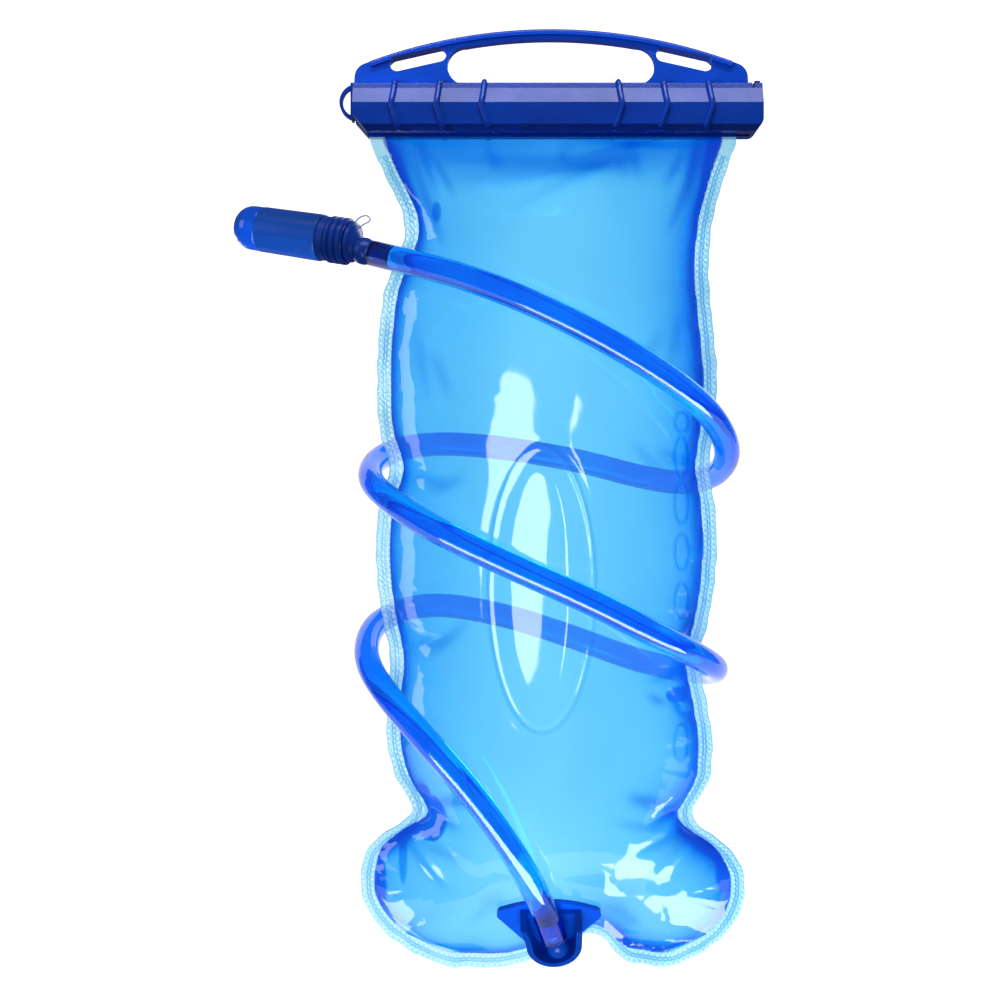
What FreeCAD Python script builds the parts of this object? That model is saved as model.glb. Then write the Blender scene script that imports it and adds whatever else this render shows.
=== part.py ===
"""Hydration bladder with a slide-on top closure, a coiled drink tube and a capped bite valve.

Millimetres, +Z up, +X to the wearer's right, the front of the bladder faces -Y.
The origin is the hanging point: the middle of the underside of the handle's grip bar.
"""

import FreeCAD, Part
import math
import os

V = FreeCAD.Vector
os.makedirs("parts", exist_ok=True)

# ---------------------------------------------------------------- driving dimensions
WALL = 0.8                 # one film
SEAM = 7.0                 # width of the weld band round the pouch

BAR_LEFT = -88.5           # open end of the closure channel
BAR_RIGHT = 89.5           # face that the end cap closes
BAR_TOP = -20.4
BAR_BOTTOM = -42.4
BAR_HALF_DEPTH = 10.0
CAVITY_TOP = -23.2
CAVITY_BOTTOM = -37.1
CAVITY_HALF = 6.0
MOUTH_HALF = 2.1
RIB_WIDTH = 1.7
RIB_RISE = 1.3
RIB_PLACES = (30.0, 50.0, 70.0)
CAP_LENGTH = 4.5

HANDLE_THICK = 4.6
HANDLE_FLANGE = 8.4
HANDLE_RADIUS = 238.0
HANDLE_APEX = 4.4
HANDLE_HALF = 88.0
HANDLE_CORNER = 6.5
GRIP_HALF = 46.5
GRIP_ARCH_TOP = 0.0
GRIP_ARCH_DROP = 3.3
SLOT_RADIUS = 3.1
SLOT_INNER = (50.2, -6.8)
SLOT_OUTER = (69.2, -11.1)

RAIL_LEFT = -88.7
RAIL_RIGHT = 85.3
RAIL_TOP = -24.8
RAIL_BOTTOM = -35.4
RAIL_HALF = 4.5
HEM_WALL = 1.0
HEM_LEG_BOTTOM = -43.4
FILM_TOP = -38.0            # where the two films end between the legs of the hem

TUBE_OD = 11.5
TUBE_BORE = 8.0

# pouch stations: height, left edge, right edge, half thickness of the filled pouch
POUCH = (
    (FILM_TOP, -80.0, 82.0, 0.8),
    (-44.2, -82.0, 83.5, 0.8),
    (-50.0, -79.5, 82.0, 4.5),
    (-58.0, -76.0, 79.0, 9.0),
    (-70.0, -70.0, 75.0, 15.0),
    (-85.0, -65.7, 72.0, 20.0),
    (-105.0, -73.0, 71.1, 25.0),
    (-125.0, -77.0, 72.5, 28.0),
    (-150.0, -78.2, 74.6, 30.0),
    (-176.0, -77.0, 73.0, 30.0),
    (-192.0, -72.5, 71.0, 30.0),
    (-208.0, -77.0, 73.5, 30.0),
    (-240.0, -78.5, 74.0, 30.0),
    (-258.0, -76.0, 71.0, 30.0),
    (-278.0, -72.5, 66.5, 30.0),
    (-298.0, -74.0, 70.0, 30.0),
    (-321.0, -72.9, 72.9, 29.0),
    (-335.0, -68.0, 70.2, 28.0),
    (-346.0, -62.0, 63.5, 27.0),
    (-353.0, -70.0, 67.0, 26.0),
    (-361.0, -81.5, 79.0, 24.0),
    (-372.0, -85.5, 86.0, 20.0),
    (-385.0, -85.0, 87.0, 15.0),
    (-395.0, -79.5, 84.0, 10.0),
    (-402.0, -73.4, 79.2, 5.5),
    (-409.0, -62.6, 71.1, 0.8),
    (-415.0, -42.0, 53.0, 0.8),
)
SECTION_PLACES = (-0.96, -0.82, -0.55, 0.0, 0.55, 0.82, 0.96)

# the outlet lies along the sloping lower front; heights below are measured up the slope from its centre
OUTLET_CENTRE = (0.5, -10.5, -392.6)
OUTLET_TILT = 28.0
CUP_TOP = 9.0
CUP_RADIUS = 12.1
CUP_WALL = 2.8
CUP_BACK = 3.0             # distances out from the film
CUP_FLOOR = 5.5
CUP_FRONT = 16.5
NECK_RADIUS = 5.0
NECK_INNER = -4.0
PORT_CLEARANCE = 0.05
BOSS_RADIUS = 8.5
BOSS_DEPTH = 5.8
FLANGE_TOP = 12.6
FLANGE_BOTTOM = -10.6
FLANGE_LEFT = -24.8
FLANGE_RIGHT = 21.0
FLANGE_THICK = 2.6
O_RING_AT = -1.0

# the drink tube, from the outlet at the bottom, round the pouch, to the bite valve
TUBE_ROUTE = (
    (0.5, -22, -396.5), (-5, -31, -379), (-17, -38, -356), (-34, -41, -331),
    (-55, -40, -307), (-72, -30, -290), (-82, -12, -278.5), (-83.5, 9, -268.5), (-78, 28, -261.5),
    (-57, 43, -255.5), (-22, 43, -261), (13, 43, -272.5),
    (41, 44, -283), (62, 33, -287), (73.5, 12, -286), (73.5, -12, -281), (63, -31, -274), (46, -41, -265),
    (15, -42, -249), (-18, -42, -234.5),
    (-52, -40, -218.5), (-70, -29, -207), (-81, -11, -198), (-81, 11, -189), (-71, 29, -182), (-49, 43, -179),
    (-17, 42, -182), (17, 42, -188),
    (46, 43, -196), (65, 31, -199), (77, 11, -195), (79, -12, -185), (68.5, -31, -170), (49.5, -40, -155.5),
    (20, -41, -137.5), (-13, -37, -121), (-40, -31, -110.2), (-62, -23, -103.3), (-78.5, -14, -98),
)

# the bite valve: the bulb is in line with the tube, and everything past it follows the valve's own axis
BALL_AT = 5.2              # along the tube's line, past its end
BALL_RADIUS = 6.0
VALVE_START = (-73.26, -14.37, -95.32)
VALVE_LINE = (-0.930, 0.316, 0.187)
CONE_END = 14.6            # distances along the valve's axis from here on
BASE_END = 17.4
COLLAR_START = 17.6
COLLAR_END = 26.9
SHOULDER_END = 30.2
SHOULDER_RADIUS = 9.8
SPIGOT_RADIUS = 4.5
SPIGOT_END = 25.0
COLLAR_RADIUS = 10.4
CAP_SEAT_RADIUS = 8.8
CAP_SEAT_END = 34.6
SLEEVE_START = 30.7
SLEEVE_END = 61.2
SLEEVE_RADIUS = 10.4
SLEEVE_BORE = 8.85
SLEEVE_FLAT = 9.6          # from the axis to the finger flats
DOME_END = 75.0
DOME_RADIUS = 9.9
MOUTH_END = 57.5
TETHER_RADIUS = 0.35


# ---------------------------------------------------------------- helpers
def save(name, shape):
    shape.exportStep("parts/%s.step" % name)
    print("%-18s %8.2f cm3  %s" % (name, shape.Volume / 1000.0, "valid" if shape.isValid() else "INVALID"))


def polygon_xz(points, y=0.0):
    corners = [V(x, y, z) for x, z in points]
    return Part.makePolygon(corners + corners[:1])


def prism_y(wire, y0, y1):
    face = Part.Face(wire)
    face.translate(V(0, y0 - wire.BoundBox.YMin, 0))
    return face.extrude(V(0, y1 - y0, 0))


def prism_x(points, x0, x1):
    """Extrude an outline of (y, z) points from x0 to x1."""
    corners = [V(x0, y, z) for y, z in points]
    face = Part.Face(Part.makePolygon(corners + corners[:1]))
    return face.extrude(V(x1 - x0, 0, 0))


def along_x(solid):
    """The edges of a solid that run parallel to X."""
    return [e for e in solid.Edges if abs(abs(e.tangentAt(e.FirstParameter).x) - 1.0) < 1e-6]


def along_y(solid, low=-1e9, high=1e9):
    """The edges parallel to Y that lie between two heights."""
    found = []
    for e in solid.Edges:
        straight = e.Curve.TypeId == "Part::GeomLine"
        if straight and abs(abs(e.tangentAt(e.FirstParameter).y) - 1.0) < 1e-6:
            if low <= e.CenterOfMass.z <= high:
                found.append(e)
    return found


def arc_xz(a, b, c):
    return Part.Arc(V(a[0], 0, a[1]), V(b[0], 0, b[1]), V(c[0], 0, c[1])).toShape()


def line_xz(a, b):
    return Part.LineSegment(V(a[0], 0, a[1]), V(b[0], 0, b[1])).toShape()


def unit(vector):
    return V(vector) * (1.0 / V(vector).Length)


# ---------------------------------------------------------------- slide-on closure
def bar_profile(rise=0.0):
    """Outer section of the bar: narrow top strip, wide shoulder, small lower chamfer."""
    d = BAR_HALF_DEPTH + rise
    return [
        (-6.6 - rise, BAR_TOP), (6.6 + rise, BAR_TOP), (7.3 + rise, BAR_TOP - 2.8),
        (d, BAR_TOP - 9.8), (d, BAR_BOTTOM + 2.6), (d - 2.0, BAR_BOTTOM),
        (-d + 2.0, BAR_BOTTOM), (-d, BAR_BOTTOM + 2.6), (-d, BAR_TOP - 9.8), (-7.3 - rise, BAR_TOP - 2.8),
    ]


def rib(x):
    """One bowed stiffening rib, leaning out at mid height and in at the bottom."""
    s = 1.0 if x > 0 else -1.0
    h = RIB_WIDTH / 2.0
    line = ((x - s * 0.4, BAR_TOP + 2.0), (x + s * 0.5, -26.0), (x + s * 1.4, -31.8), (x + s * 0.3, -35.0),
            (x - s * 2.6, BAR_BOTTOM - 2.0))
    outline = [(px - h, pz) for px, pz in line] + [(px + h, pz) for px, pz in reversed(line)]
    strip = prism_y(polygon_xz(outline), -20.0, 20.0)
    return strip.common(prism_x(bar_profile(RIB_RISE), x - 8.0, x + 8.0))


def closure_channel():
    bar = prism_x(bar_profile(), BAR_LEFT, BAR_RIGHT)
    bar = bar.makeFillet(0.9, along_x(bar))
    for place in RIB_PLACES:
        bar = bar.fuse([rib(-place), rib(place)])
    cavity = prism_x([(-CAVITY_HALF, CAVITY_TOP), (CAVITY_HALF, CAVITY_TOP),
                      (CAVITY_HALF, CAVITY_BOTTOM), (-CAVITY_HALF, CAVITY_BOTTOM)],
                     BAR_LEFT - 5.0, BAR_RIGHT + 5.0)
    cavity = cavity.makeFillet(1.2, along_x(cavity))
    mouth = prism_x([(-MOUTH_HALF, CAVITY_BOTTOM + 2.0), (MOUTH_HALF, CAVITY_BOTTOM + 2.0),
                     (MOUTH_HALF, BAR_BOTTOM - 5.0), (-MOUTH_HALF, BAR_BOTTOM - 5.0)],
                    BAR_LEFT - 5.0, BAR_RIGHT + 5.0)
    bevel = prism_y(polygon_xz([(BAR_LEFT - 5, -34.8), (BAR_LEFT, -35.4), (-82.4, BAR_BOTTOM),
                                (-82.4, BAR_BOTTOM - 5), (BAR_LEFT - 5, BAR_BOTTOM - 5)]), -20.0, 20.0)
    return bar.cut([cavity, mouth, bevel]).removeSplitter()


def channel_end_cap():
    """The block that closes the right end of the channel, with a plug inside the cavity."""
    block = prism_x(bar_profile(), BAR_RIGHT, BAR_RIGHT + CAP_LENGTH)
    block = block.makeFillet(0.9, along_x(block))
    edge = BAR_RIGHT + CAP_LENGTH
    corner = Part.Face(Part.Wire([
        line_xz((edge + 4, -35.5), (edge + 4, -48.0)), line_xz((edge + 4, -48.0), (BAR_RIGHT, -48.0)),
        line_xz((BAR_RIGHT, -48.0), (BAR_RIGHT, BAR_BOTTOM)),
        arc_xz((BAR_RIGHT, BAR_BOTTOM), (edge - 1.2, -40.2), (edge, -35.5)),
        line_xz((edge, -35.5), (edge + 4, -35.5))]))
    corner.translate(V(0, -20, 0))
    step = Part.makeBox(1.2, 40.0, 6.0, V(BAR_RIGHT, -20.0, BAR_TOP - 2.6))
    lug = Part.makeBox(edge - BAR_RIGHT - 2.2, 12.0, 4.0, V(BAR_RIGHT + 1.2, -6.0, BAR_TOP - 3.2))
    block = block.fuse(lug).cut([corner.extrude(V(0, 40, 0)), step])
    plug = prism_x([(-5.6, CAVITY_TOP - 0.5), (5.6, CAVITY_TOP - 0.5), (5.6, CAVITY_BOTTOM + 0.4),
                    (-5.6, CAVITY_BOTTOM + 0.4)], BAR_RIGHT - 3.0, BAR_RIGHT)
    return block.fuse(plug).removeSplitter()


def handle_edge_z(x):
    """Height of the handle's outer arc at x."""
    return HANDLE_APEX - HANDLE_RADIUS + math.sqrt(HANDLE_RADIUS ** 2 - x * x)


def slanted_slot(side):
    """A strap slot: two round ends joined by straight sides."""
    ends = [V(side * SLOT_INNER[0], -20, SLOT_INNER[1]), V(side * SLOT_OUTER[0], -20, SLOT_OUTER[1])]
    run = unit(ends[1] - ends[0])
    across = V(-run.z, 0, run.x) * SLOT_RADIUS
    slab = Part.Face(Part.makePolygon([ends[0] + across, ends[1] + across, ends[1] - across,
                                       ends[0] - across, ends[0] + across])).extrude(V(0, 40, 0))
    rounds = [Part.makeCylinder(SLOT_RADIUS, 40, end, V(0, 1, 0)) for end in ends]
    return slab.fuse(rounds).removeSplitter()


def grip_opening():
    """The hand opening: an arched top, two round ends and the bar below."""
    top = GRIP_ARCH_TOP - GRIP_ARCH_DROP
    r = (top - BAR_TOP) / 2.0
    side = GRIP_HALF - r
    low = BAR_TOP - 4.0
    edges = [
        arc_xz((-side, top), (0.0, GRIP_ARCH_TOP), (side, top)),
        arc_xz((side, top), (GRIP_HALF, top - r), (side, BAR_TOP)),
        line_xz((side, BAR_TOP), (side, low)),
        line_xz((side, low), (-side, low)),
        line_xz((-side, low), (-side, BAR_TOP)),
        arc_xz((-side, BAR_TOP), (-GRIP_HALF, top - r), (-side, top)),
    ]
    face = Part.Face(Part.Wire(edges))
    face.translate(V(0, -20, 0))
    return face.extrude(V(0, 40, 0))


def handle_plate(half_depth, inner_radius, x):
    """An arched plate out to x each way; inner_radius 0 makes it solid down to the bar."""
    z = handle_edge_z(x)
    edges = [arc_xz((-x, z), (0.0, HANDLE_APEX), (x, z))]
    if inner_radius:
        drop = HANDLE_RADIUS - inner_radius
        edges += [line_xz((x, z), (x - 0.8, z - drop)),
                  arc_xz((x - 0.8, z - drop), (0.0, HANDLE_APEX - drop), (-x + 0.8, z - drop)),
                  line_xz((-x + 0.8, z - drop), (-x, z))]
    else:
        foot = 88.4
        edges += [line_xz((x, z), (foot, BAR_TOP)), line_xz((foot, BAR_TOP), (-foot, BAR_TOP)),
                  line_xz((-foot, BAR_TOP), (-x, z))]
    face = Part.Face(Part.Wire(edges))
    face.translate(V(0, -half_depth, 0))
    return face.extrude(V(0, 2.0 * half_depth, 0))


def carry_handle():
    plate = handle_plate(HANDLE_THICK / 2.0, 0.0, HANDLE_HALF)
    plate = plate.makeFillet(HANDLE_CORNER, along_y(plate, handle_edge_z(HANDLE_HALF) - 0.5, HANDLE_APEX))
    flange = handle_plate(HANDLE_FLANGE / 2.0, HANDLE_RADIUS - 2.6, HANDLE_HALF - 6.5)
    top_edges = [e for e in flange.Edges if e.BoundBox.ZMax > HANDLE_APEX - 0.1 and e.Length > HANDLE_HALF]
    handle = plate.fuse(flange.makeFillet(1.4, top_edges))
    return handle.cut([grip_opening(), slanted_slot(-1.0), slanted_slot(1.0)]).removeSplitter()


# ---------------------------------------------------------------- sealing rail and hem
def rail_section(x0, x1, grow=0.0):
    half = RAIL_HALF + grow
    bar = prism_x([(-half, RAIL_TOP + grow), (half, RAIL_TOP + grow),
                   (half, RAIL_BOTTOM - grow), (-half, RAIL_BOTTOM - grow)], x0, x1)
    return bar.makeFillet(2.2 + grow, along_x(bar))


def sealing_rail():
    return rail_section(RAIL_LEFT, RAIL_RIGHT)


def folded_hem():
    """The pouch's top edge: film wrapped round the rail, with two legs that leave through the mouth."""
    x0, x1 = -82.0, 83.5
    wrap = rail_section(x0, x1, HEM_WALL)
    legs = prism_x([(-1.5, RAIL_BOTTOM), (1.5, RAIL_BOTTOM), (1.5, HEM_LEG_BOTTOM), (-1.5, HEM_LEG_BOTTOM)],
                   x0, x1)
    films = prism_x([(-WALL, FILM_TOP), (WALL, FILM_TOP), (WALL, -60.0), (-WALL, -60.0)], x0 - 1, x1 + 1)
    return wrap.fuse(legs).cut([rail_section(x0 - 1, x1 + 1), films]).removeSplitter()


def rail_pull_loop():
    """The thin crescent that the rail is held by while the slider is pulled off."""
    outer = Part.Face(Part.Wire([
        arc_xz((-89.2, -20.0), (-95.1, -27.9), (-89.2, -35.8)), line_xz((-89.2, -35.8), (-89.2, -20.0))]))
    inner = Part.Face(Part.Wire([
        arc_xz((-89.2, -21.8), (-93.6, -27.9), (-89.2, -34.0)), line_xz((-89.2, -34.0), (-89.2, -21.8))]))
    crescent = outer.cut(inner)
    crescent.translate(V(0, -1.5, 0))
    crescent = crescent.extrude(V(0, 3.0, 0))
    foot = Part.makeBox(1.1, 9.0, 15.8, V(RAIL_LEFT - 1.1, -4.5, -35.8))
    return foot.fuse(crescent).removeSplitter()


# ---------------------------------------------------------------- pouch films
def film_wire(z, left, right, half, side):
    """Closed section of one film at a height: flat weld, curved wall, flat weld."""
    mid = (left + right) / 2.0
    reach = (right - left) / 2.0 - SEAM
    bulge = half - WALL
    outer = [V(mid - reach, side * WALL, z)]
    inner = [V(mid - reach + WALL, 0, z)]
    for u in SECTION_PLACES:
        rise = bulge * math.sqrt(1.0 - u * u)
        outer.append(V(mid + reach * u, side * (WALL + rise), z))
        inner.append(V(mid + (reach - WALL) * u, side * rise, z))
    outer.append(V(mid + reach, side * WALL, z))
    inner.append(V(mid + reach - WALL, 0, z))
    edges = [
        Part.makeLine(V(left, 0, z), V(left, side * WALL, z)),
        Part.makeLine(V(left, side * WALL, z), outer[0]),
        spline(outer),
        Part.makeLine(outer[-1], V(right, side * WALL, z)),
        Part.makeLine(V(right, side * WALL, z), V(right, 0, z)),
        Part.makeLine(V(right, 0, z), inner[-1]),
        spline(inner[::-1]),
        Part.makeLine(inner[0], V(left, 0, z)),
    ]
    return Part.Wire(edges)


def spline(points):
    curve = Part.BSplineCurve()
    curve.interpolate(points)
    return curve.toShape()


def film(side):
    """One of the two films; side is -1 for the front and +1 for the back."""
    wires = [film_wire(z, left, right, half, side) for z, left, right, half in POUCH]
    return Part.makeLoft(wires, True, True)


# ---------------------------------------------------------------- outlet
def on_slope(shape):
    """Move a shape from the outlet's own frame (-Y out of the film, Z up the slope) to its place."""
    shape.rotate(V(0, 0, 0), V(1, 0, 0), OUTLET_TILT)
    shape.translate(V(*OUTLET_CENTRE))
    return shape


def outward(radius, start, end):
    """A cylinder square to the film, between two distances out from it."""
    return Part.makeCylinder(radius, end - start, V(0, -start, 0), V(0, -1, 0))


def outlet_flange():
    """Boat-shaped weld flange with a round boss through the film."""
    top = FLANGE_TOP
    low = FLANGE_BOTTOM
    mid = (FLANGE_LEFT + FLANGE_RIGHT) / 2.0
    edges = [
        arc_xz((FLANGE_LEFT + 3, top - 4.0), (mid, top), (FLANGE_RIGHT - 3, top - 4.0)),
        arc_xz((FLANGE_RIGHT - 3, top - 4.0), (FLANGE_RIGHT, top - 7.0), (FLANGE_RIGHT - 1.5, top - 10.0)),
        line_xz((FLANGE_RIGHT - 1.5, top - 10.0), (mid + 10.0, low)),
        line_xz((mid + 10.0, low), (mid - 10.0, low)),
        line_xz((mid - 10.0, low), (FLANGE_LEFT + 1.5, top - 10.0)),
        arc_xz((FLANGE_LEFT + 1.5, top - 10.0), (FLANGE_LEFT, top - 7.0), (FLANGE_LEFT + 3, top - 4.0)),
    ]
    plate = Part.Face(Part.Wire(edges)).extrude(V(0, -FLANGE_THICK, 0))
    boss = outward(BOSS_RADIUS, CUP_BACK - 0.2 - BOSS_DEPTH, CUP_BACK - 0.2)
    bore = outward(NECK_RADIUS + PORT_CLEARANCE, -20.0, 20.0)
    return on_slope(plate.fuse(boss).cut(bore).removeSplitter())


def cup_outline(radius):
    """A U, open at the top, whose left side leans out along the tube."""
    return Part.Wire([
        arc_xz((-radius, 0.0), (0.0, -radius), (radius, 0.0)),
        line_xz((radius, 0.0), (radius, CUP_TOP)),
        line_xz((radius, CUP_TOP), (-radius - 2.5, CUP_TOP)),
        line_xz((-radius - 2.5, CUP_TOP), (-radius, 0.0)),
    ])


def barb(start, axis, length, root, crest, count):
    """A hose tail: a shank with a few cone-shaped barbs that point back along the tube."""
    body = Part.makeCylinder(root, length, start, axis)
    pitch = length / float(count)
    for i in range(count):
        foot = start + axis * (pitch * i + pitch * 0.15)
        body = body.fuse(Part.makeCone(crest, root, pitch * 0.8, foot, axis))
    return body


def outlet_elbow():
    """U-shaped cup whose elbow turns the flow from the port up into the tube."""
    cup = prism_y(cup_outline(CUP_RADIUS), -CUP_FRONT, -CUP_BACK)
    rim = [e for e in cup.Edges if e.BoundBox.YMax < -CUP_FRONT + 1e-6 and e.CenterOfMass.z < CUP_TOP - 1]
    cup = cup.makeFillet(1.2, rim)
    inner = CUP_RADIUS - CUP_WALL
    hollow = prism_y(cup_outline(inner), -CUP_FRONT - 5.0, -CUP_FLOOR)
    open_top = Part.makeBox(2 * inner + 2.5, 20.0, 10.0, V(-inner - 2.5, -CUP_FLOOR - 20.0, CUP_TOP - 2.0))
    neck = outward(NECK_RADIUS, NECK_INNER, CUP_BACK + 1.0)
    groove = ring_cut(NECK_RADIUS, 1.2, V(0, -O_RING_AT, 0), V(0, -1, 0), 0.9)
    cup = on_slope(cup.cut([hollow, open_top]).fuse(neck).cut(groove))
    start = V(*TUBE_ROUTE[0])
    axis = unit(V(*TUBE_ROUTE[1]) - start)
    inward = on_slope(Part.Vertex(0, 1, 0)).Point - V(*OUTLET_CENTRE)
    knuckle = start - axis * 6.0
    tail = barb(start, axis, 9.5, 3.1, TUBE_BORE / 2.0, 3)
    stop = Part.makeCylinder(TUBE_OD / 2.0 - 0.2, 1.4, start - axis * 1.4, axis)
    parts = [tail, stop, Part.makeCylinder(3.4, 6.0, knuckle, axis), Part.makeSphere(5.0, knuckle),
             Part.makeCylinder(3.6, 7.5, knuckle, inward)]
    flow = Part.makeCylinder(2.0, 26.0, knuckle, axis)
    port = Part.makeCylinder(2.0, 22.0, knuckle, inward)
    return cup.fuse(parts).cut([flow, port]).removeSplitter()


def ring_cut(radius, width, centre, axis, depth):
    """A ring groove in a round shank, centred at a point of its axis."""
    base = centre - axis * (width / 2.0)
    tube = Part.makeCylinder(radius + 5.0, width, base, axis)
    return tube.cut(Part.makeCylinder(radius - depth, width, base, axis))


def elbow_o_ring():
    return on_slope(Part.makeTorus(NECK_RADIUS - 0.4, 0.42, V(0, -O_RING_AT, 0), V(0, 1, 0)))


# ---------------------------------------------------------------- drink tube
def tube_path():
    """Straight runs joined by tangent arcs, each as large as its two runs allow."""
    points = [V(*p) for p in TUBE_ROUTE]
    edges = []
    radii = []
    here = points[0]
    for before, corner, after in zip(points, points[1:], points[2:]):
        back = before - corner
        ahead = after - corner
        turn = math.pi - back.getAngle(ahead)
        reach = 0.45 * min(back.Length, ahead.Length)
        radius = reach / math.tan(turn / 2.0)
        radii.append(radius)
        a = corner + unit(back) * reach
        b = corner + unit(ahead) * reach
        bisector = unit(unit(back) + unit(ahead))
        middle = corner + bisector * (radius / math.cos(turn / 2.0) - radius)
        edges.append(Part.LineSegment(here, a).toShape())
        edges.append(Part.Arc(a, middle, b).toShape())
        here = b
    edges.append(Part.LineSegment(here, points[-1]).toShape())
    print("tube radii:", " ".join("%.0f" % r for r in radii), "smallest %.1f" % min(radii))
    return Part.Wire(edges)


def drink_tube():
    path = tube_path()
    start = V(*TUBE_ROUTE[0])
    axis = V(*TUBE_ROUTE[1]) - start
    skins = []
    for diameter in (TUBE_OD, TUBE_BORE):
        ring = Part.Wire(Part.makeCircle(diameter / 2.0, start, axis))
        skins.append(path.makePipeShell([ring], True, False))
    tube = skins[0].cut(skins[1])
    section = math.pi * (TUBE_OD ** 2 - TUBE_BORE ** 2) / 4.0
    print("tube length %.1f, volume %.0f against section x length %.0f"
          % (path.Length, tube.Volume, section * path.Length))
    return tube


# ---------------------------------------------------------------- bite valve
TUBE_END = V(*TUBE_ROUTE[-1])
TUBE_AXIS = unit(TUBE_END - V(*TUBE_ROUTE[-2]))
VALVE_ORIGIN = V(*VALVE_START)
VALVE_AXIS = unit(V(*VALVE_LINE))
VALVE_PLACE = FreeCAD.Placement(VALVE_ORIGIN, FreeCAD.Rotation(V(0, 0, 1), VALVE_AXIS))


def on_axis(distance):
    return VALVE_ORIGIN + VALVE_AXIS * distance


def drum(radius, start, end):
    return Part.makeCylinder(radius, end - start, on_axis(start), VALVE_AXIS)


def turned(profile):
    """Solid of revolution about the valve axis from (distance, radius) points, ends on the axis."""
    corners = [V(radius, 0, distance) for distance, radius in profile]
    face = Part.Face(Part.makePolygon(corners + corners[:1]))
    solid = face.revolve(V(0, 0, 0), V(0, 0, 1), 360.0)
    solid.Placement = VALVE_PLACE
    return solid


def valve_stem():
    """Hose tail, stop, round bulb, slanting cone, base disc and the spigot that the collar turns on."""
    tail = barb(TUBE_END, TUBE_AXIS * -1.0, 8.5, 3.1, TUBE_BORE / 2.0, 3)
    stop = Part.makeCylinder(5.5, 1.2, TUBE_END, TUBE_AXIS)
    ball = TUBE_END + TUBE_AXIS * BALL_AT
    base = on_axis(CONE_END + 0.2)
    lean = unit(base - ball)
    cone = Part.makeLoft([Part.Wire(Part.makeCircle(4.4, ball + lean * 2.6, VALVE_AXIS)),
                          Part.Wire(Part.makeCircle(7.6, base, VALVE_AXIS))], True, True)
    profile = [(CONE_END, 0), (CONE_END, 7.7), (CONE_END + 0.8, 8.8), (BASE_END - 0.6, 8.8),
               (BASE_END, 8.2), (BASE_END, SPIGOT_RADIUS), (SPIGOT_END, SPIGOT_RADIUS), (SPIGOT_END, 0)]
    stem = tail.fuse([stop, Part.makeSphere(BALL_RADIUS, ball), cone, turned(profile)])
    flow = [Part.makeCylinder(2.0, 16.0, ball, TUBE_AXIS * -1.0), Part.makeSphere(2.0, ball),
            Part.makeCylinder(2.0, (base - ball).Length, ball, lean), drum(2.0, CONE_END, SPIGOT_END + 1.0)]
    stem = stem.cut(flow)
    for place in (19.6, 22.6):
        stem = stem.cut(ring_cut(SPIGOT_RADIUS, 1.4, on_axis(place), VALVE_AXIS, 0.8))
    return stem.removeSplitter()


def stem_o_rings():
    rings = [Part.makeTorus(SPIGOT_RADIUS - 0.7, 0.65, on_axis(place), VALVE_AXIS).cut(
        drum(SPIGOT_RADIUS - 0.8, place - 2.0, place + 2.0)) for place in (19.6, 22.6)]
    return Part.makeCompound(rings)


def shutoff_collar():
    """Ribbed twist collar and shoulder, the seat that the cap pushes on to, and the mouthpiece's nipple."""
    profile = [(COLLAR_START, 0), (COLLAR_START, 9.2)]
    pitch = (COLLAR_END - COLLAR_START) / 3.0
    for i in range(3):
        low = COLLAR_START + pitch * i
        profile += [(low + 0.2, 9.3), (low + 0.9, COLLAR_RADIUS),
                    (low + 2.2, COLLAR_RADIUS), (low + 2.9, 9.3)]
    profile += [(COLLAR_END, SHOULDER_RADIUS), (SHOULDER_END, SHOULDER_RADIUS),
                (SHOULDER_END, CAP_SEAT_RADIUS), (CAP_SEAT_END - 0.8, CAP_SEAT_RADIUS),
                (CAP_SEAT_END, CAP_SEAT_RADIUS - 0.6), (CAP_SEAT_END, 4.2), (37.0, 4.2), (37.6, 4.9),
                (38.6, 4.9), (39.6, 3.8), (39.6, 0)]
    collar = turned(profile).cut([drum(SPIGOT_RADIUS + 0.05, COLLAR_START - 1, SPIGOT_END + 0.4),
                                  drum(2.2, SPIGOT_END, 45.0)])
    return collar.removeSplitter()


def bite_mouthpiece():
    """Silicone mouthpiece: a collar over the nipple, a slim neck and a soft bulb with a slit."""
    outside = [(CAP_SEAT_END + 0.1, 0), (CAP_SEAT_END + 0.1, 7.2), (37.0, 7.2), (38.5, 6.3), (44.5, 6.3),
               (46.0, 7.2), (50.0, 7.9), (54.0, 7.2), (56.6, 5.2), (MOUTH_END, 2.8), (MOUTH_END, 0)]
    inside = [(CAP_SEAT_END, 0), (CAP_SEAT_END, 4.2), (37.0, 4.2), (37.6, 4.9), (38.6, 4.9), (39.6, 3.8),
              (44.0, 4.4), (50.0, 6.1), (53.6, 5.4), (55.6, 3.4), (56.0, 0)]
    body = turned(outside).cut(turned(inside))
    slit = Part.makeBox(5.0, 0.5, 6.0, V(-2.5, -0.25, MOUTH_END - 4.0))
    slit.Placement = VALVE_PLACE
    return body.cut(slit).removeSplitter()


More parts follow.
